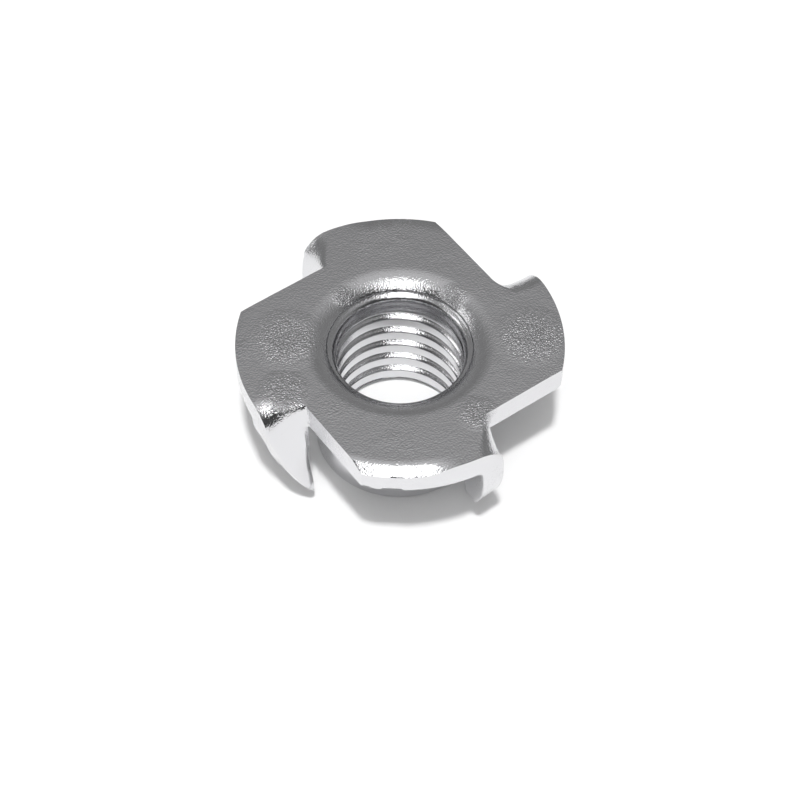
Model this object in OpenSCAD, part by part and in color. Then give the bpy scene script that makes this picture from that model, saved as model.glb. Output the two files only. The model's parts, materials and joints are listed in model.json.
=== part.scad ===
// Four-prong tee nut, pressed from one round blank of sheet steel.
// A drawn barrel hangs under a flange. Four straight shears run in from the rim,
// and the metal outside each shear is folded down into a pointed prong.
// The origin is the centre of the barrel's open end. Z runs up the bore to the flange.

/* [Flange] */
// Diameter of the round blank, which is the diameter across the flange
flange_d = 23.3; // [21:0.1:30]
// Thickness of the sheet
sheet_t = 1.9; // [1.2:0.1:2.3]
// Radius rolled onto the upper edge of the round rim when the blank is punched
rim_roll_r = 0.4; // [0.1:0.05:0.8]

/* [Barrel] */
// Height of the whole nut, from the barrel's open end to the top of the flange
overall_h = 10.6; // [9.5:0.1:20]
// Outside diameter of the barrel, which is also the hole to drill for it
barrel_d = 12.2; // [11.2:0.1:14.6]
// Diameter of the bore over the crests of the thread (nominal thread 10 mm, pitch 1.5 mm)
bore_d = 9; // [7:0.1:9.6]
// Radius drawn between the top of the flange and the bore
mouth_r = 2.4; // [1:0.1:3]
// Fillet between the underside of the flange and the barrel
neck_fillet_r = 0.5; // [0.2:0.1:1]
// Leg of the countersink at the barrel's open end
countersink = 0.6; // [0.2:0.1:0.8]
// Radius round the outer edge of the barrel's open end
barrel_edge_r = 0.35; // [0.1:0.05:0.6]

/* [Prongs] */
// Number of prongs
prong_count = 4; // [3:1:4]
// Width of each prong where it is folded, from the shear out to the rim
prong_w = 2.9; // [2.3:0.1:3.6]
// How far before the middle of the shear the fold begins
fold_setback = 1.7; // [1:0.1:2.2]
// Radius on the inside of the fold
fold_inner_r = 0.35; // [0.2:0.05:1]
// Angle that the prong is folded down through
fold_angle = 78; // [70:1:90]
// Length clipped off the prong's sharp tip
tip_clip = 0.2; // [0.1:0.05:0.5]

/* [Hidden] */
$fn = 96;
flange_r = flange_d / 2;
barrel_r = barrel_d / 2;
bore_r = bore_d / 2;
underside_z = overall_h - sheet_t;
// Distance from the bore's axis to the straight shear beside each prong
shear_offset = flange_r - prong_w;
fold_outer_r = fold_inner_r + sheet_t;
// Flat length that the fold uses up, along the middle of the sheet
fold_length = (fold_inner_r + sheet_t / 2) * fold_angle * PI / 180;
// Where the straight blade begins and ends on the flat blank
blade_start = fold_length - fold_setback;
blade_end = sqrt(flange_r * flange_r - shear_offset * shear_offset) - tip_clip;
// Height of the fold's centre line
fold_z = overall_h - fold_outer_r;
// How far a cut passes clear of the solid, and how far a trimming shape has to reach
clear = 1;
reach = 4 * fold_outer_r;

// Corner piece that rounds the inside of a right angle, with its corner at the origin
module corner_round(radius) {
    difference() {
        square(radius);
        translate([radius, radius]) circle(radius);
    }
}

// Half section of the flange and barrel as one turned shape
module half_section() {
    difference() {
        union() {
            translate([0, underside_z]) square([flange_r, sheet_t]);
            square([barrel_r, overall_h]);
            translate([barrel_r, underside_z]) mirror([0, 1]) corner_round(neck_fillet_r);
        }
        translate([-clear, -clear]) square([bore_r + clear, overall_h + 2 * clear]);
        translate([bore_r, overall_h]) mirror([0, 1]) corner_round(mouth_r);
        polygon([[0, 0], [bore_r + countersink, 0], [bore_r, countersink], [0, countersink]]);
        translate([barrel_r, 0]) mirror([1, 0]) corner_round(barrel_edge_r);
        translate([flange_r, overall_h]) rotate(180) corner_round(rim_roll_r);
    }
}

// Plan of the flange once the prongs are folded away from it
module flange_plan() {
    difference() {
        circle(flange_r + clear);
        for (i = [0 : prong_count - 1])
            rotate(i * 360 / prong_count)
                translate([shear_offset, -fold_setback]) square(flange_r + clear);
    }
}

// Side view of a folded prong as a strip of sheet, with the fold's centre at the origin
module folded_strip() {
    intersection() {
        difference() {
            circle(fold_outer_r);
            circle(fold_inner_r);
        }
        polygon([[0, 0], [0, reach], [reach, reach], [reach, reach / tan(fold_angle)]]);
    }
    rotate(-fold_angle) translate([0, fold_inner_r]) square([blade_end - blade_start, sheet_t]);
}

// Flat outline that trims the blade: the blank's round rim, left full width back over the fold
module blade_trim() {
    intersection() {
        circle(flange_r);
        translate([0, blade_start]) square([flange_r, flange_r]);
    }
    translate([0, blade_start - reach]) square([flange_r + clear, reach]);
}

// One prong, beside the shear that faces +X: the fold, then the flat blade
module prong() {
    intersection() {
        translate([shear_offset, -fold_setback, fold_z])
            rotate([90, 0, 90]) linear_extrude(prong_w) folded_strip();
        translate([0, -fold_setback, fold_z])
            rotate([-fold_angle, 0, 0])
                translate([0, -blade_start, -clear])
                    linear_extrude(fold_outer_r + 2 * clear) blade_trim();
        translate([0, 0, -overall_h]) cylinder(h = 2 * overall_h, r = flange_r);
    }
}

// The whole nut
module tee_nut() {
    color("silver")
    union() {
        intersection() {
            rotate_extrude() half_section();
            linear_extrude(overall_h) flange_plan();
        }
        for (i = [0 : prong_count - 1]) rotate(i * 360 / prong_count) prong();
    }
}

tee_nut();
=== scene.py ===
import json
import math

import bmesh
import bpy
import numpy as np
from mathutils import Matrix, Vector


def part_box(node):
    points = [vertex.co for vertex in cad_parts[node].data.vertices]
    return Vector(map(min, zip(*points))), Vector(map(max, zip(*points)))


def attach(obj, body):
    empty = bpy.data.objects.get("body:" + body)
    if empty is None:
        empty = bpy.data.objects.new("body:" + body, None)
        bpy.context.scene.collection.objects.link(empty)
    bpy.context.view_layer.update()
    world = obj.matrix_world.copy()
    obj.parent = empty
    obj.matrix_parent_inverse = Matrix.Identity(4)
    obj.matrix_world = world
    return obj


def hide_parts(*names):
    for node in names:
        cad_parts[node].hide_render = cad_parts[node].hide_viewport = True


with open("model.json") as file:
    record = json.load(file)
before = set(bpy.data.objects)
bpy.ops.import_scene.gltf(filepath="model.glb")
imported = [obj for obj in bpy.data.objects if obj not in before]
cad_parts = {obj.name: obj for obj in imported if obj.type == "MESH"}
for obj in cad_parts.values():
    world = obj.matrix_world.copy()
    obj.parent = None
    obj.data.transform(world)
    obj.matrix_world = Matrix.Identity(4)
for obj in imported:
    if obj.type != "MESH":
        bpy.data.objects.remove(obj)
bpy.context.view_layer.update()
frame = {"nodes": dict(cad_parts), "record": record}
print("frame loaded")

mm = 0.001  # the meshes below are worked out in millimetres and scaled once
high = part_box("tee_nut")[1]
mounts = {mount["name"]: mount for mount in frame["record"]["mounts"]}


def linearColour(code):
    # sRGB hex to linear
    channels = [int(code[i:i + 2], 16) / 255 for i in (1, 3, 5)]
    return [c / 12.92 if c <= 0.04045 else ((c + 0.055) / 1.055) ** 2.4 for c in channels] + [1]


def addNode(tree, kind, inputs=None, **settings):
    # an input takes a number or a colour, a socket, or a node, which gives its first output
    node = tree.nodes.new(kind)
    for name, value in settings.items():
        setattr(node, name, value)
    for name, value in (inputs or {}).items():
        if isinstance(value, bpy.types.Node):
            value = value.outputs[0]
        if isinstance(value, bpy.types.NodeSocket):
            tree.links.new(value, node.inputs[name])
        else:
            node.inputs[name].default_value = value
    return node


# The pressed sheet: flange, folds and prongs, in mm. A row of four goes prong by prong.
sheet = {
    "flangeR": high.x / mm,
    "topZ": high.z / mm,
    "undersideZ": mounts["flange_underside"]["pos_m"][2] / mm,
    "shearX": 8.75,         # the four straight shears, from the bore's axis
    "quarterLead": 35,      # degrees before each shear's middle where its quarter begins
    "foldY": -1.7,          # where the fold begins at the rim, along the shear
    "foldInnerR": 0.35,
    "foldAngle": np.radians((78, 78, 78, 82)),
    "pinchR": (2.0, 0.7, 0.55, 0.4),        # outside of the fold beside the shear, tighter than at the rim
    "drag": (0.3, 0.6, 0.9, 0.85),          # how far the shear dragged the fold towards the tip
    "dragZ": (4, 8),        # heights between which that drag grows
    "tipY": (7.4, 7.4, 7.45, 5.7),          # each prong's clipped tip, on the flat blank
    "bow": (0.1, 0.15, 0.04, 0.0),          # how hollow each blade's sheared side is
    "taper": (0.2, 0.3, 0.4, 0.05),         # how much its round side has drawn in
    "bladeLength": 7.4,
    "bowFull": 0.45,        # shares of that length: where the bow is full, where it ends, and its fading
    "bowEnd": 1.08,
    "bowFade": 0.5,
    "taperEnd": 1.1,        # and where the taper ends, just past the tip
    "bladeRound": 0.25,     # a blade's outer edge
    "bladeBack": 0.22,      # and its inner one, beside the barrel
    "sideBury": 0.6,        # how far its side runs on under the flange, so that the two join
    "buryStart": -1.0,      # and where on the way down that side comes out, and how gently
    "buryRun": 1.2,
    "prongBack": 1.3,       # how far back into the flange a prong reaches
    "rootTop": (0.84, 0.2, 0.15, 0.12),     # rolled web where each shear ends, at the top
    "rootDeep": (1.9, 0.8, 0.6, 0.35),      # and at the underside
    "rootLift": 0.8,        # how softly the web fades out at the underside
    "webBack": 1.0,         # how far the web reaches into the flange
    "gussetR": 0.35,        # fillet where a prong's side leaves the underside
    "gussetWide": 0.4,
    "gussetInset": 0.1,     # how far it stays inside the blade's faces
    "gussetTop": 0.5,       # and below the flange's top
    "rollR": 1.0,           # the punch rolled the top down to the rim
    "rollWidth": 1.1,
    "rollTilt": math.radians(30),
    "rollEnd": (-10, -10, -24, -12),        # azimuth, from each shear's middle, where that roll has faded
    "rollFade": 16,         # degrees that the fading takes
    "rollStart": 20,        # azimuth where it begins again past the prong
    "rollRise": 10,
    "rollShare": (0.25, 0.4, 0.25, 1.0),    # how much of it each lobe of the flange took
    "lobeTurn": 5,          # azimuth where one lobe gives way to the next
    "edgeR": 0.03,          # every edge the tools left crisp
    "rimBreak": 0.28,       # the rim's lower edge
    "grain": 0.118,         # spacing of the skin's mesh
    "longestStep": 0.12,    # the furthest a point moves in one round of settling
    "evenRounds": 5,        # rounds of evening the points out along the surface
    "sharpRounds": 2,       # and of drawing them onto the creases
    "creaseTurn": 0.95,     # a point is on a crease where its faces' mean normal is shorter than this
    "creaseReach": 0.16,    # the furthest a point is drawn onto a crease
    "creaseHold": 0.1,      # how strongly it stays where it is
    "sharpAngle": math.radians(44),         # edges sharper than this are shaded as edges
}

# The drawn barrel and its thread, in mm, as one turned skin that joins the flange at joinR
barrel = {
    "outerR": 6.1,
    "crestR": 4.5,
    "rootR": 4.95,
    "pitch": 1.5,
    "flankAngle": math.radians(30),
    "grooveZ": 7.9,         # height of a groove's middle at grooveAzimuth
    "grooveAzimuth": math.radians(53.6),
    "drawR": 2.4,           # radius drawn from the flange into the bore
    "ringR": 5.2,           # edge that the drawing punch's nose left in the mouth
    "seatR": 4.7,           # inner end of the shallow seat below that edge
    "seatDrop": 0.36,
    "throatR": 4.6,         # where the throat meets the thread
    "throatZ": 8.8,
    "throatRun": 0.12,      # the thread's rows end this far above it, and the throat this far below
    "runOut": 0.3,          # height over which the groove fades there
    "countersink": 0.6,
    "endRoll": 0.12,
    "neckR": 0.5,
    "joinR": 7.4,
    "steps": 160,           # round the axis
    "weld": 0.0008,         # points closer than this become one
}


# In the shapes below a face is a distance from it, in mm, negative inside the metal.

def rolledEdge(a, b, radius):
    # two faces that meet in an outer edge
    outside = np.hypot(np.maximum(a + radius, 0), np.maximum(b + radius, 0))
    return np.minimum(np.maximum(a, b), -radius) + outside


def filledCorner(a, b, radius):
    # two faces that meet in an inner corner
    return radius - np.hypot(np.maximum(radius - a, 0), np.maximum(radius - b, 0))


def smoothStep(t):
    t = np.clip(t, 0, 1)
    return t * t * (3 - 2 * t)


def quarterTurn(points):
    # brings every prong into the quarter of the first one
    x, y, z = points.T
    quarter = np.floor((np.degrees(np.arctan2(y, x)) + sheet["quarterLead"]) / 90)
    turn = quarter * math.pi / 2
    turnedX = x * np.cos(turn) + y * np.sin(turn)
    turnedY = y * np.cos(turn) - x * np.sin(turn)
    return turnedX, turnedY, z, quarter.astype(int) % 4, turn


def rolledTop(x, y, z, which):
    # the flange's top, rolled down to the rim
    azimuth = np.degrees(np.arctan2(y, x))
    keep = (smoothStep((np.take(sheet["rollEnd"], which) - azimuth) / sheet["rollFade"])
            + smoothStep((azimuth - sheet["rollStart"]) / sheet["rollRise"]))
    keep = keep * np.take(sheet["rollShare"], (which + (azimuth > sheet["lobeTurn"])) % 4)
    width, radius, tilt = sheet["rollWidth"], sheet["rollR"], sheet["rollTilt"]
    rollX = np.clip(np.hypot(x, y) - sheet["flangeR"] + width, 0, width) * keep
    arcX = np.minimum(rollX, radius * math.sin(tilt))
    arcZ = np.sqrt(radius ** 2 - arcX ** 2)
    drop = radius - arcZ + (rollX - arcX) * math.tan(tilt)
    return (z - sheet["topZ"] + drop) * arcZ / radius


def foldShape(x, z, which):
    # place across the prong, the fold's angle and drag there, its outer radius, and how far that moves it
    share = np.clip((x - sheet["shearX"]) / (sheet["flangeR"] - sheet["shearX"]), 0, 1)
    bend = np.take(sheet["foldAngle"], which)
    low, full = sheet["dragZ"]
    drag = np.take(sheet["drag"], which) * (1 - share) ** 2 * smoothStep((z - low) / (full - low))
    outerR = sheet["foldInnerR"] + sheet["topZ"] - sheet["undersideZ"]
    pinchR = np.take(sheet["pinchR"], which)
    bendR = pinchR + (outerR - pinchR) * smoothStep(share)
    return share, bend, drag, bendR, (outerR - bendR) * np.tan(bend / 2)


def bladeSides(y, z, bend, which):
    # how far a blade's sheared side and its round side draw in, from its place down the blade
    rise = z - sheet["undersideZ"] + sheet["foldInnerR"]
    reach = ((y - sheet["foldY"]) * np.cos(bend) - rise * np.sin(bend)) / sheet["bladeLength"]
    reach = np.clip(reach, 0, sheet["taperEnd"])
    hollow = np.take(sheet["bow"], which) * smoothStep(reach / sheet["bowFull"])
    hollow = hollow * smoothStep((sheet["bowEnd"] - reach) / sheet["bowFade"])
    # drawn in most about a third of the way down
    drawnIn = np.take(sheet["taper"], which) * smoothStep(reach * 3) * (sheet["taperEnd"] - reach)
    return hollow, drawnIn


def unrolled(dy, dz, bend, middleR):
    # along runs down the middle of the folded sheet, and out is square to it
    angle = np.arctan2(dy, dz)
    folded = (angle >= 0) & (angle <= bend)
    flat = (angle < 0) & (angle > bend - math.pi)
    bladeAlong = middleR * bend + dy * np.cos(bend) - dz * np.sin(bend)
    bladeOut = dy * np.sin(bend) + dz * np.cos(bend) - middleR
    along = np.where(folded, middleR * angle, np.where(flat, dy, bladeAlong))
    out = np.where(folded, np.hypot(dy, dz) - middleR, np.where(flat, dz - middleR, bladeOut))
    return along, out


def foldOutside(dy, dz, bend, bendR, top):
    # the outside of the fold is a cone, tight beside the shear
    angle = np.arctan2(dy, dz)
    rolled = (angle >= 0) & (angle <= bend)
    level = (angle < 0) & (angle > bend - math.pi)
    straight = dy * np.sin(bend) + dz * np.cos(bend)
    outer = np.where(rolled, np.hypot(dy, dz), np.where(level, dz, straight)) - bendR
    return np.where(level | rolled, np.maximum(outer, top), outer)


def sheetDistance(points):
    x, y, z, which, _ = quarterTurn(points)
    half = (sheet["topZ"] - sheet["undersideZ"]) / 2
    crisp = sheet["edgeR"]
    top = rolledTop(x, y, z, which)
    under = sheet["undersideZ"] - z
    rim = np.hypot(x, y) - sheet["flangeR"]
    wall = x - sheet["shearX"]

    # the flange, with a notch beside each shear
    notch = np.minimum(wall, y - sheet["foldY"])
    side = rolledEdge(rim, notch, crisp)
    flange = np.maximum(rolledEdge(side, top, crisp), rolledEdge(notch, under, crisp))
    flange = np.maximum(flange, rolledEdge(rim, under, sheet["rimBreak"]))

    # the fold
    _, bend, drag, bendR, shift = foldShape(x, z, which)
    middleR = sheet["foldInnerR"] + half
    dy = y - sheet["foldY"] - drag
    dz = z - (sheet["topZ"] - middleR - half)
    along, out = unrolled(dy, dz, bend, middleR)
    inner = -out - half
    outer = foldOutside(dy - shift, dz - (middleR + half - bendR), bend, bendR, top)

    # the blade: its side towards the barrel, its round side and its tip
    hollow, drawnIn = bladeSides(y - drag, z, bend, which)
    buried = sheet["sideBury"] * (1 - smoothStep((along - sheet["buryStart"]) / sheet["buryRun"]))
    sheared = sheet["shearX"] - buried - x + hollow
    blankY = sheet["foldY"] + along
    blankRim = np.hypot(x + drawnIn, blankY) - sheet["flangeR"]
    ends = np.maximum(blankY - np.take(sheet["tipY"], which), -sheet["prongBack"] - along)
    prong = np.maximum(rolledEdge(blankRim, outer, sheet["bladeRound"]), rolledEdge(sheared, outer, crisp))
    prong = np.maximum(prong, rolledEdge(blankRim, inner, crisp))
    prong = np.maximum(prong, rolledEdge(sheared, inner, sheet["bladeBack"]))
    prong = rolledEdge(prong, ends, crisp)

    # the rolled web between the shear's wall and the prong's outer face
    deep = np.clip(-top / (2 * half), 0, 1)
    webR = np.take(sheet["rootTop"], which) * (1 - deep) + np.take(sheet["rootDeep"], which) * deep
    web = rolledEdge(filledCorner(wall, outer, webR), top, crisp)
    web = rolledEdge(web, under, sheet["rootLift"])
    web = np.maximum(web, np.maximum(rim, np.maximum(inner, -sheet["webBack"] - wall)))

    # the fillet under the flange, kept inside the blade's thickness and short of the top
    gusset = filledCorner(under, hollow - wall, sheet["gussetR"])
    thick = np.abs(out) - half + sheet["gussetInset"]
    reach = np.maximum(wall - sheet["gussetWide"], top + sheet["gussetTop"])
    gusset = np.maximum(gusset, np.maximum(thick, reach))
    gusset = np.maximum(gusset, under - sheet["gussetR"])
    return np.minimum(np.minimum(flange, prong), np.minimum(web, gusset))


def nearFit(points):
    # slides the CAD's skin along the shears and blades, to start close to the pressed shape
    x, y, z, which, turn = quarterTurn(points)
    share, bend, drag, bendR, shift = foldShape(x, z, which)
    outerR = sheet["foldInnerR"] + sheet["topZ"] - sheet["undersideZ"]

    def corner(radius):
        return np.sqrt(radius ** 2 - np.clip(z - sheet["topZ"] + radius, 0, radius) ** 2)

    slide = drag + shift + corner(bendR) - corner(outerR)
    # only beside the prong, and fading towards the flange and the tip
    slide = slide * smoothStep((x - 7.8) / 0.9) * smoothStep((7.2 - y) / 6.6) * smoothStep((y + 4) / 2)
    hollow, drawnIn = bladeSides(y, z, bend, which)
    x = x + (hollow * (1 - share) - drawnIn * share) * (x > sheet["shearX"] - 0.2)
    y = y + slide
    return np.column_stack((x * np.cos(turn) - y * np.sin(turn), x * np.sin(turn) + y * np.cos(turn), z))


def slope(distance, points, step=0.01):
    grad = np.empty_like(points)
    for axis in range(3):
        shift = np.zeros(3)
        shift[axis] = step
        grad[:, axis] = (distance(points + shift) - distance(points - shift)) / (2 * step)
    return grad


def settle(distance, points, rounds):
    # moves points onto the surface, a short step at a time
    longest = sheet["longestStep"]
    for _ in range(rounds):
        grad = slope(distance, points)
        steep = np.maximum((grad ** 2).sum(1), 0.2)
        move = np.clip(distance(points) / steep, -longest, longest)
        points = points - grad * move[:, None]
    return points


def sharpen(points, faces, keepStill):
    # draws the points beside a crease onto it, where the planes of the faces around them meet
    corners = np.array(faces)
    centres = points[corners].mean(1)
    normals = slope(sheetDistance, centres, 0.004)
    normals /= np.linalg.norm(normals, axis=1)[:, None] + 1e-9
    centres -= normals * sheetDistance(centres)[:, None]
    planes = normals[:, :, None] * normals[:, None, :]
    heights = normals * (normals * centres).sum(1)[:, None]
    total = np.zeros((len(points), 3, 3))
    target = np.zeros_like(points)
    facing = np.zeros_like(points)
    count = np.bincount(corners.ravel(), minlength=len(points))
    for corner in corners.T:
        np.add.at(total, corner, planes)
        np.add.at(target, corner, heights)
        np.add.at(facing, corner, normals)
    hold = sheet["creaseHold"]
    drawn = np.linalg.solve(total + hold * np.eye(3), (target + hold * points)[:, :, None])[:, :, 0]
    creased = np.linalg.norm(facing, axis=1) < sheet["creaseTurn"] * count
    near = np.linalg.norm(drawn - points, axis=1) < sheet["creaseReach"]
    use = creased & near & ~keepStill
    points = points.copy()
    points[use] = drawn[use]
    return points


def cadSkin():
    # an even mesh of the CAD's surface outside joinR, as points and faces
    source = frame["nodes"]["tee_nut"]
    blank = source.copy()
    blank.data = source.data.copy()
    blank.name = "blank"
    blank.parent = None
    for key in list(blank.keys()):
        del blank[key]
    bpy.context.scene.collection.objects.link(blank)
    blank.data.transform(Matrix.Scale(1 / mm, 4))
    welded = bmesh.new()
    welded.from_mesh(blank.data)
    bmesh.ops.remove_doubles(welded, verts=welded.verts, dist=0.0005)
    welded.to_mesh(blank.data)
    welded.free()
    remesh = blank.modifiers.new("grain", "REMESH")
    remesh.mode = "VOXEL"
    remesh.voxel_size = sheet["grain"]
    bpy.context.view_layer.update()
    fine = bpy.data.meshes.new_from_object(blank.evaluated_get(bpy.context.evaluated_depsgraph_get()))
    points = np.empty(len(fine.vertices) * 3)
    fine.vertices.foreach_get("co", points)
    points = points.reshape(-1, 3)
    faces = [tuple(f.vertices) for f in fine.polygons]
    oldMesh = blank.data
    bpy.data.objects.remove(blank)
    bpy.data.meshes.remove(oldMesh)
    bpy.data.meshes.remove(fine)

    far = np.hypot(points[:, 0], points[:, 1]) > barrel["joinR"] + 0.1
    faces = [f for f in faces if all(far[v] for v in f)]
    used = np.unique([v for f in faces for v in f])
    order = np.full(len(points), -1)
    order[used] = np.arange(len(used))
    return points[used], [tuple(int(order[v]) for v in f) for f in faces]


def pressedSkin():
    # the sheet's skin: settled onto the pressed shape, evened out along it, then its creases sharpened
    points, faces = cadSkin()
    edges = np.array([(f[i], f[i - 1]) for f in faces for i in range(len(f))])
    degree = np.bincount(edges.ravel(), minlength=len(points))[:, None]
    seam = np.hypot(points[:, 0], points[:, 1]) < barrel["joinR"] + 0.4
    points = settle(sheetDistance, nearFit(points), 4)
    for _ in range(sheet["evenRounds"]):
        total = np.zeros_like(points)
        for axis in range(3):
            total[:, axis] = (np.bincount(edges[:, 0], points[edges[:, 1], axis], len(points))
                              + np.bincount(edges[:, 1], points[edges[:, 0], axis], len(points)))
        pull = total / degree - points
        pull[seam] = 0
        points = settle(sheetDistance, points + 0.5 * pull, 2)
    points = settle(sheetDistance, points, 2)
    for _ in range(sheet["sharpRounds"]):
        points = sharpen(points, faces, seam)
    print("sheet skin:", len(points), "points")
    return points, faces


def soften(line, rounds):
    # cuts the corners of a profile, and keeps its ends
    for _ in range(rounds):
        cut = [line[0]]
        for (r0, z0), (r1, z1) in zip(line, line[1:]):
            cut.append((0.75 * r0 + 0.25 * r1, 0.75 * z0 + 0.25 * z1))
            cut.append((0.25 * r0 + 0.75 * r1, 0.25 * z0 + 0.75 * z1))
        line = cut + [line[-1]]
    return line


def mouthProfile():
    # the drawn radius, the edge of the punch's nose, the seat and the throat, going down
    drawR, ringR, throatZ = barrel["drawR"], barrel["ringR"], barrel["throatZ"]
    centreR = barrel["crestR"] + drawR
    centreZ = sheet["topZ"] - drawR
    lift = math.acos((centreR - ringR) / drawR)
    ringZ = centreZ + drawR * math.sin(lift)
    mouth = [(centreR - drawR * math.cos(a), centreZ + drawR * math.sin(a))
             for a in np.linspace(math.pi / 2, lift, 22)]
    lip = [(ringR - 0.02, ringZ - 0.1), (barrel["seatR"], ringZ - barrel["seatDrop"]),
           (barrel["throatR"], throatZ), (barrel["crestR"], throatZ - barrel["throatRun"])]
    return mouth + soften([mouth[-1]] + lip, 3)[1:]


def threadRows(angles, mouth):
    # the bore's helical groove: a row for each corner of its section, turn after turn
    pitch, crestR = barrel["pitch"], barrel["crestR"]
    mouthZ = [z for r, z in reversed(mouth)]
    mouthR = [r for r, z in reversed(mouth)]
    depth = barrel["rootR"] - crestR
    flankRun = depth * math.tan(barrel["flankAngle"]) / pitch
    # places are shares of the pitch, with the groove's middle at a half and its root an eighth wide
    rootStart = 0.5 - 1 / 16
    flankStart = rootStart - flankRun
    turn = [(0.0, 0), (flankStart - 0.06, 0), (flankStart - 0.012, 0), (flankStart + 0.012, 0.05),
            (rootStart - flankRun / 2, 0.5), (rootStart - 0.015, 0.93), (rootStart + 0.02, 1.0)]
    turn += [(1 - place, deep) for place, deep in reversed(turn[1:])]
    start = barrel["grooveZ"] - 0.5 * pitch - pitch * barrel["grooveAzimuth"] / (2 * math.pi)
    lowZ, highZ = 0.0, barrel["throatZ"] + barrel["throatRun"]
    rows = []
    for k in range(math.floor((lowZ - start) / pitch) - 1, math.ceil((highZ - start) / pitch) + 1):
        for place, deep in turn:
            z = np.clip(start + (k + place) * pitch + pitch * angles / (2 * math.pi), lowZ, highZ)
            runOut = smoothStep((barrel["throatZ"] + 0.1 - z) / barrel["runOut"])
            groove = crestR + depth * deep * runOut
            cone = crestR + barrel["countersink"] - z
            rows.append((np.maximum(np.maximum(groove, cone), np.interp(z, mouthZ, mouthR)), z))
    return rows, highZ


def outsideProfile():
    # the barrel's rolled end, its outside and the neck under the flange, going up
    outerR, roll, neck, underZ = barrel["outerR"], barrel["endRoll"], barrel["neckR"], sheet["undersideZ"]
    quarter = np.linspace(0, math.pi / 2, 7)[1:]
    outside = [(outerR - roll, 0.0)]
    outside += [(outerR - roll + roll * math.sin(a), roll - roll * math.cos(a)) for a in quarter]
    outside += [(outerR, z) for z in np.linspace(roll, underZ - neck, 14)[1:]]
    outside += [(outerR + neck - neck * math.cos(a), underZ - neck + neck * math.sin(a)) for a in quarter]
    return outside + [(barrel["joinR"], underZ)]


def turnedSkin():
    # outside, end, threaded bore and mouth of the barrel, as points and faces
    steps = barrel["steps"]
    angles = np.arange(steps + 1) * 2 * math.pi / steps
    mouth = mouthProfile()
    thread, threadTop = threadRows(angles, mouth)
    mouth = [p for p in reversed(mouth) if p[1] > threadTop + 0.01] + [(barrel["joinR"], sheet["topZ"])]

    # each row holds steps + 1 points, and the last of them closes the turn
    ones = np.ones(steps + 1)
    rows = [(r * ones, z * ones) for r, z in reversed(outsideProfile())]
    rows += thread + [(r * ones, z * ones) for r, z in mouth]
    points = np.array([[(r[j] * math.cos(angles[j]), r[j] * math.sin(angles[j]), z[j])
                        for j in range(steps + 1)] for r, z in rows]).reshape(-1, 3)
    width = steps + 1
    faces = [(i * width + j, i * width + j + 1, (i + 1) * width + j + 1, (i + 1) * width + j)
             for i in range(len(rows) - 1) for j in range(steps)]
    print("turned skin:", len(points), "points")
    return points, faces


def makeNut():
    mesh = bmesh.new()
    for points, faces in (turnedSkin(), pressedSkin()):
        verts = [mesh.verts.new(p) for p in points]
        for f in faces:
            mesh.faces.new([verts[v] for v in f])
    bmesh.ops.remove_doubles(mesh, verts=mesh.verts, dist=barrel["weld"])
    bmesh.ops.dissolve_degenerate(mesh, edges=mesh.edges, dist=barrel["weld"])

    # the two skins are joined by a flat ring on the flange's top, and another on its underside
    openEdges = [e for e in mesh.edges if e.is_boundary]
    midZ = (sheet["topZ"] + sheet["undersideZ"]) / 2
    for above in (True, False):
        loop = [e for e in openEdges if (e.verts[0].co.z > midZ) == above]
        print("join", above, len(loop), "edges")
        bmesh.ops.triangle_fill(mesh, edges=loop, use_beauty=True, normal=(0, 0, 1 if above else -1))
    print("open edges left:", sum(e.is_boundary for e in mesh.edges),
          "wire:", sum(e.is_wire for e in mesh.edges),
          "odd:", sum(not e.is_manifold for e in mesh.edges))
    bmesh.ops.recalc_face_normals(mesh, faces=mesh.faces)
    for face in mesh.faces:
        face.smooth = True
    bmesh.ops.transform(mesh, matrix=Matrix.Scale(mm, 4), verts=mesh.verts)
    data = bpy.data.meshes.new("tee_nut_pressed")
    mesh.to_mesh(data)
    print("faces:", len(data.polygons), "triangles:", sum(len(f.vertices) - 2 for f in data.polygons))
    mesh.free()
    data.set_sharp_from_angle(angle=sheet["sharpAngle"])
    nut = bpy.data.objects.new("tee_nut_pressed", data)
    bpy.context.scene.collection.objects.link(nut)
    return nut


# The plate's finish. Sizes are in mm, and depths are shares of the grain's full height.
plate = {
    "colour": "#dcdcde",
    "roughness": (0.14, 0.27),      # untouched, then scuffed
    "grainHeight": 0.14,
    # size, detail and roughness of each pattern. Real pebbling is finer than 0.05 mm, too fine to
    # show, so the grain is drawn at 0.12 mm.
    "patterns": {"patches": (3.5, 2, 0.6), "grain": (0.12, 1, 0.5), "ripple": (0.9, 1, 0.6)},
    "patchDepth": (0.05, 0.28),     # faint scuffing all over
    "leastDepth": 0.13,             # the grain where nothing scuffed it
    "boreDepth": 0.35,              # tumbling hardly reaches into the bore
    "mouthDepth": 0.12,
    "rippleDepth": 0.06,
    # where tumbling scuffed the plate most: azimuth in degrees, radius and size
    "scuffs": {
        "left lobe": (144, 8.0, 3.2),
        "right lobe": (-33, 9.4, 3.2),
        "front root": (-86, 8.4, 1.8),
        "left bend": (174, 9.3, 2.2),
        "left of the mouth": (98, 5.7, 1.2),
        "right of the mouth": (12, 5.6, 1.4),
    },
}


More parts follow.
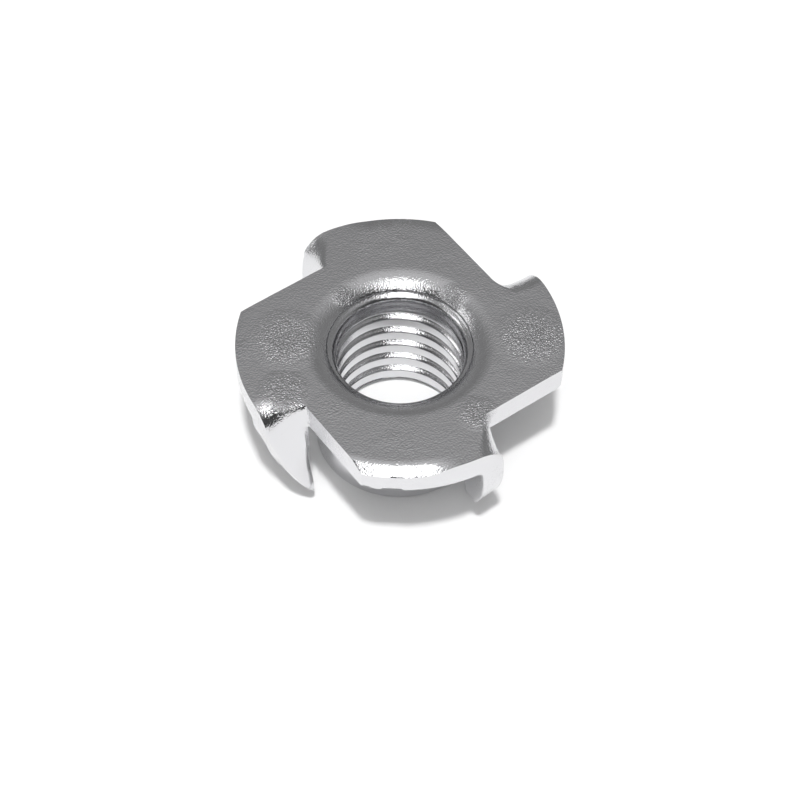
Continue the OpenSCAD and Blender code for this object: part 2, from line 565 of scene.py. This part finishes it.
# Zinc plate on tumbled, pressed steel: a bright cool grey, finely pebbled, that glints where it is scuffed
def zincPlatedSteel():
    material = bpy.data.materials.new("zinc_plated_steel")
    material.use_nodes = True
    tree = material.node_tree
    tree.nodes.clear()
    place = addNode(tree, "ShaderNodeTexCoord").outputs["Object"]
    pattern = {}
    for name, (size, detail, rough) in plate["patterns"].items():
        pattern[name] = addNode(tree, "ShaderNodeTexNoise", {
            "Vector": place, "Scale": 1 / (size * mm), "Detail": detail, "Roughness": rough})

    # how scuffed the plate is: faintly all over, and most in the round spots
    faint, strong = plate["patchDepth"]
    scuffed = addNode(tree, "ShaderNodeMapRange", {
        "Value": pattern["patches"], "From Min": 0.45, "From Max": 0.8,
        "To Min": faint, "To Max": strong}, interpolation_type="SMOOTHSTEP")
    for azimuth, radius, size in plate["scuffs"].values():
        turn = math.radians(azimuth)
        centre = (radius * mm * math.cos(turn), radius * mm * math.sin(turn), sheet["topZ"] * mm)
        gap = addNode(tree, "ShaderNodeVectorMath", {0: place, 1: centre}, operation="DISTANCE")
        spot = addNode(tree, "ShaderNodeMapRange", {
            "Value": gap.outputs["Value"], "From Min": 0.2 * size * mm, "From Max": size * mm,
            "To Min": 1.3, "To Max": 0.0}, interpolation_type="SMOOTHSTEP")
        scuffed = addNode(tree, "ShaderNodeMath", {0: scuffed, 1: spot}, operation="MAXIMUM")

    # the mouth is a little scuffed, and the bore is the smoothest
    parts = addNode(tree, "ShaderNodeSeparateXYZ", {"Vector": place})
    level = addNode(tree, "ShaderNodeCombineXYZ", {"X": parts.outputs["X"], "Y": parts.outputs["Y"]})
    axisGap = addNode(tree, "ShaderNodeVectorMath", {0: level}, operation="LENGTH").outputs["Value"]
    outside = addNode(tree, "ShaderNodeMapRange", {
        "Value": axisGap, "From Min": barrel["crestR"] * mm, "From Max": (barrel["ringR"] + 0.3) * mm,
        "To Min": plate["boreDepth"], "To Max": 1.0}, interpolation_type="SMOOTHSTEP")
    mouth = addNode(tree, "ShaderNodeMapRange", {
        "Value": axisGap, "From Min": (barrel["ringR"] + 0.2) * mm, "From Max": (barrel["ringR"] + 1.6) * mm,
        "To Min": plate["mouthDepth"], "To Max": 0.0}, interpolation_type="SMOOTHSTEP")
    scuffed = addNode(tree, "ShaderNodeMath", {0: scuffed, 1: mouth}, operation="MAXIMUM")

    # grain and ripple raise the surface, and scuffing dulls it
    least = plate["leastDepth"]
    depth = addNode(tree, "ShaderNodeMath", {0: scuffed, 1: 1 - least, 2: least}, operation="MULTIPLY_ADD")
    depth = addNode(tree, "ShaderNodeMath", {0: depth, 1: outside}, operation="MULTIPLY")
    grain = addNode(tree, "ShaderNodeMath", {0: pattern["grain"], 1: depth}, operation="MULTIPLY")
    height = addNode(tree, "ShaderNodeMath", {
        0: pattern["ripple"], 1: plate["rippleDepth"], 2: grain}, operation="MULTIPLY_ADD")
    bump = addNode(tree, "ShaderNodeBump", {
        "Height": height, "Strength": 1.0, "Distance": plate["grainHeight"] * mm})
    clean, dull = plate["roughness"]
    haze = addNode(tree, "ShaderNodeMapRange", {"Value": scuffed, "To Min": clean, "To Max": dull})
    shader = addNode(tree, "ShaderNodeBsdfPrincipled", {
        "Base Color": linearColour(plate["colour"]), "Metallic": 1, "Roughness": haze, "Normal": bump})
    addNode(tree, "ShaderNodeOutputMaterial", {"Surface": shader})
    return material


# The studio. Lengths of the camera are in mm, and those of the floor and lights in metres.
studio = {
    "cameraAzimuth": math.radians(233.6),
    "cameraRun": 103.05,    # level distance from the axis
    "cameraZ": 136.9,
    "cameraAside": 0.05,
    "lookDown": math.radians(52.27),
    "roll": math.radians(0.75),
    "lens": 103.75,
    "sensor": 36,
    "nearest": 0.005,       # metres from the camera where drawing begins
    "floorColour": "#f2f2f2",
    "floorR": 3,
    # azimuth from the camera's side and elevation in degrees, distance, size, watts, whether it mirrors
    "lights": {
        "key": (0, 70, 0.9, (0.055, 0.055), 5.6, False),
        "fill": (0, 60, 0.8, (0.7, 0.7), 0.8, False),
        "roof": (0, 62, 0.6, (0.30, 0.38), 0.9, True),
        "side": (-90, 32, 0.7, (0.30, 0.26), 0.35, True),
    },
    # grey of the room by height, from straight down at 0 to straight up at 1
    "room": ((0.0, 0.30), (0.55, 0.20), (0.79, 0.33), (0.95, 0.6)),
    "cameraSide": 0.06,     # grey of the room's dark side, where the camera stands
}


# Matt white board: a pale floor that takes a soft shadow and hardly mirrors the nut
def paleFloor():
    material = bpy.data.materials.new("pale_floor")
    material.use_nodes = True
    tree = material.node_tree
    tree.nodes.clear()
    shader = addNode(tree, "ShaderNodeBsdfPrincipled", {
        "Base Color": linearColour(studio["floorColour"]), "Roughness": 0.6, "Specular IOR Level": 0.2})
    addNode(tree, "ShaderNodeOutputMaterial", {"Surface": shader})
    mesh = bmesh.new()
    bmesh.ops.create_circle(mesh, cap_ends=True, segments=96, radius=studio["floorR"])
    data = bpy.data.meshes.new("floor")
    mesh.to_mesh(data)
    mesh.free()
    floor = bpy.data.objects.new("floor", data)
    floor.data.materials.append(material)
    bpy.context.scene.collection.objects.link(floor)


def placeCamera():
    away = Vector((math.cos(studio["cameraAzimuth"]), math.sin(studio["cameraAzimuth"]), 0))
    spot = away * studio["cameraRun"] * mm + Vector((0, 0, studio["cameraZ"] * mm))
    spot += Vector((-away.y, away.x, 0)) * studio["cameraAside"] * mm
    look = -away * math.cos(studio["lookDown"]) - Vector((0, 0, math.sin(studio["lookDown"])))
    data = bpy.data.cameras.new("camera")
    data.lens = studio["lens"]
    data.sensor_width = studio["sensor"]
    data.clip_start = studio["nearest"]
    camera = bpy.data.objects.new("camera", data)
    turned = look.to_track_quat("-Z", "Y").to_matrix().to_4x4() @ Matrix.Rotation(studio["roll"], 4, "Z")
    camera.matrix_world = Matrix.Translation(spot) @ turned
    bpy.context.scene.collection.objects.link(camera)
    bpy.context.scene.camera = camera


def softbox(name, azimuth, elevation, distance, size, power, mirrors):
    # an area light that faces the nut
    turn = studio["cameraAzimuth"] + math.radians(azimuth)
    lift = math.radians(elevation)
    toward = Vector((math.cos(turn) * math.cos(lift), math.sin(turn) * math.cos(lift), math.sin(lift)))
    data = bpy.data.lights.new(name, "AREA")
    data.shape = "RECTANGLE"
    data.size, data.size_y = size
    data.energy = power
    light = bpy.data.objects.new(name, data)
    facing = toward.to_track_quat("Z", "Y").to_matrix().to_4x4()
    light.matrix_world = Matrix.Translation(toward * distance) @ facing
    light.visible_glossy = mirrors
    bpy.context.scene.collection.objects.link(light)


def lightStudio():
    for name, values in studio["lights"].items():
        softbox(name, *values)
    world = bpy.data.worlds.new("studio")
    bpy.context.scene.world = world
    world.use_nodes = True
    tree = world.node_tree
    tree.nodes.clear()

    # the room: a pale back wall that darkens towards the floor, and a dark side where the camera stands
    look = addNode(tree, "ShaderNodeTexCoord").outputs["Generated"]
    parts = addNode(tree, "ShaderNodeSeparateXYZ", {"Vector": look})
    wall = addNode(tree, "ShaderNodeValToRGB", {"Fac": parts.outputs["Z"]})
    stops = wall.color_ramp.elements
    while len(stops) < len(studio["room"]):
        stops.new(0.5)
    for stop, (height, grey) in zip(stops, studio["room"]):
        stop.position = height
        stop.color = (grey, grey, grey, 1)
    cameraWay = (math.cos(studio["cameraAzimuth"]), math.sin(studio["cameraAzimuth"]), 0)
    facing = addNode(tree, "ShaderNodeVectorMath", {0: look, 1: cameraWay}, operation="DOT_PRODUCT")
    front = addNode(tree, "ShaderNodeMapRange", {
        "Value": facing.outputs["Value"], "From Min": 0.1, "From Max": 0.6}, interpolation_type="SMOOTHSTEP")
    dark = studio["cameraSide"]
    mixed = addNode(tree, "ShaderNodeMix", {0: front, 6: wall, 7: (dark, dark, dark, 1)}, data_type="RGBA")
    shade = addNode(tree, "ShaderNodeBackground", {"Color": mixed.outputs[2], "Strength": 1.0})
    addNode(tree, "ShaderNodeOutputWorld", {"Surface": shade})
    bpy.context.scene.view_settings.view_transform = "Standard"


placeCamera()
paleFloor()
lightStudio()
print("studio set")

nut = makeNut()
nut.data.materials.append(zincPlatedSteel())
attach(nut, "root")
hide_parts("tee_nut")
print("nut made")
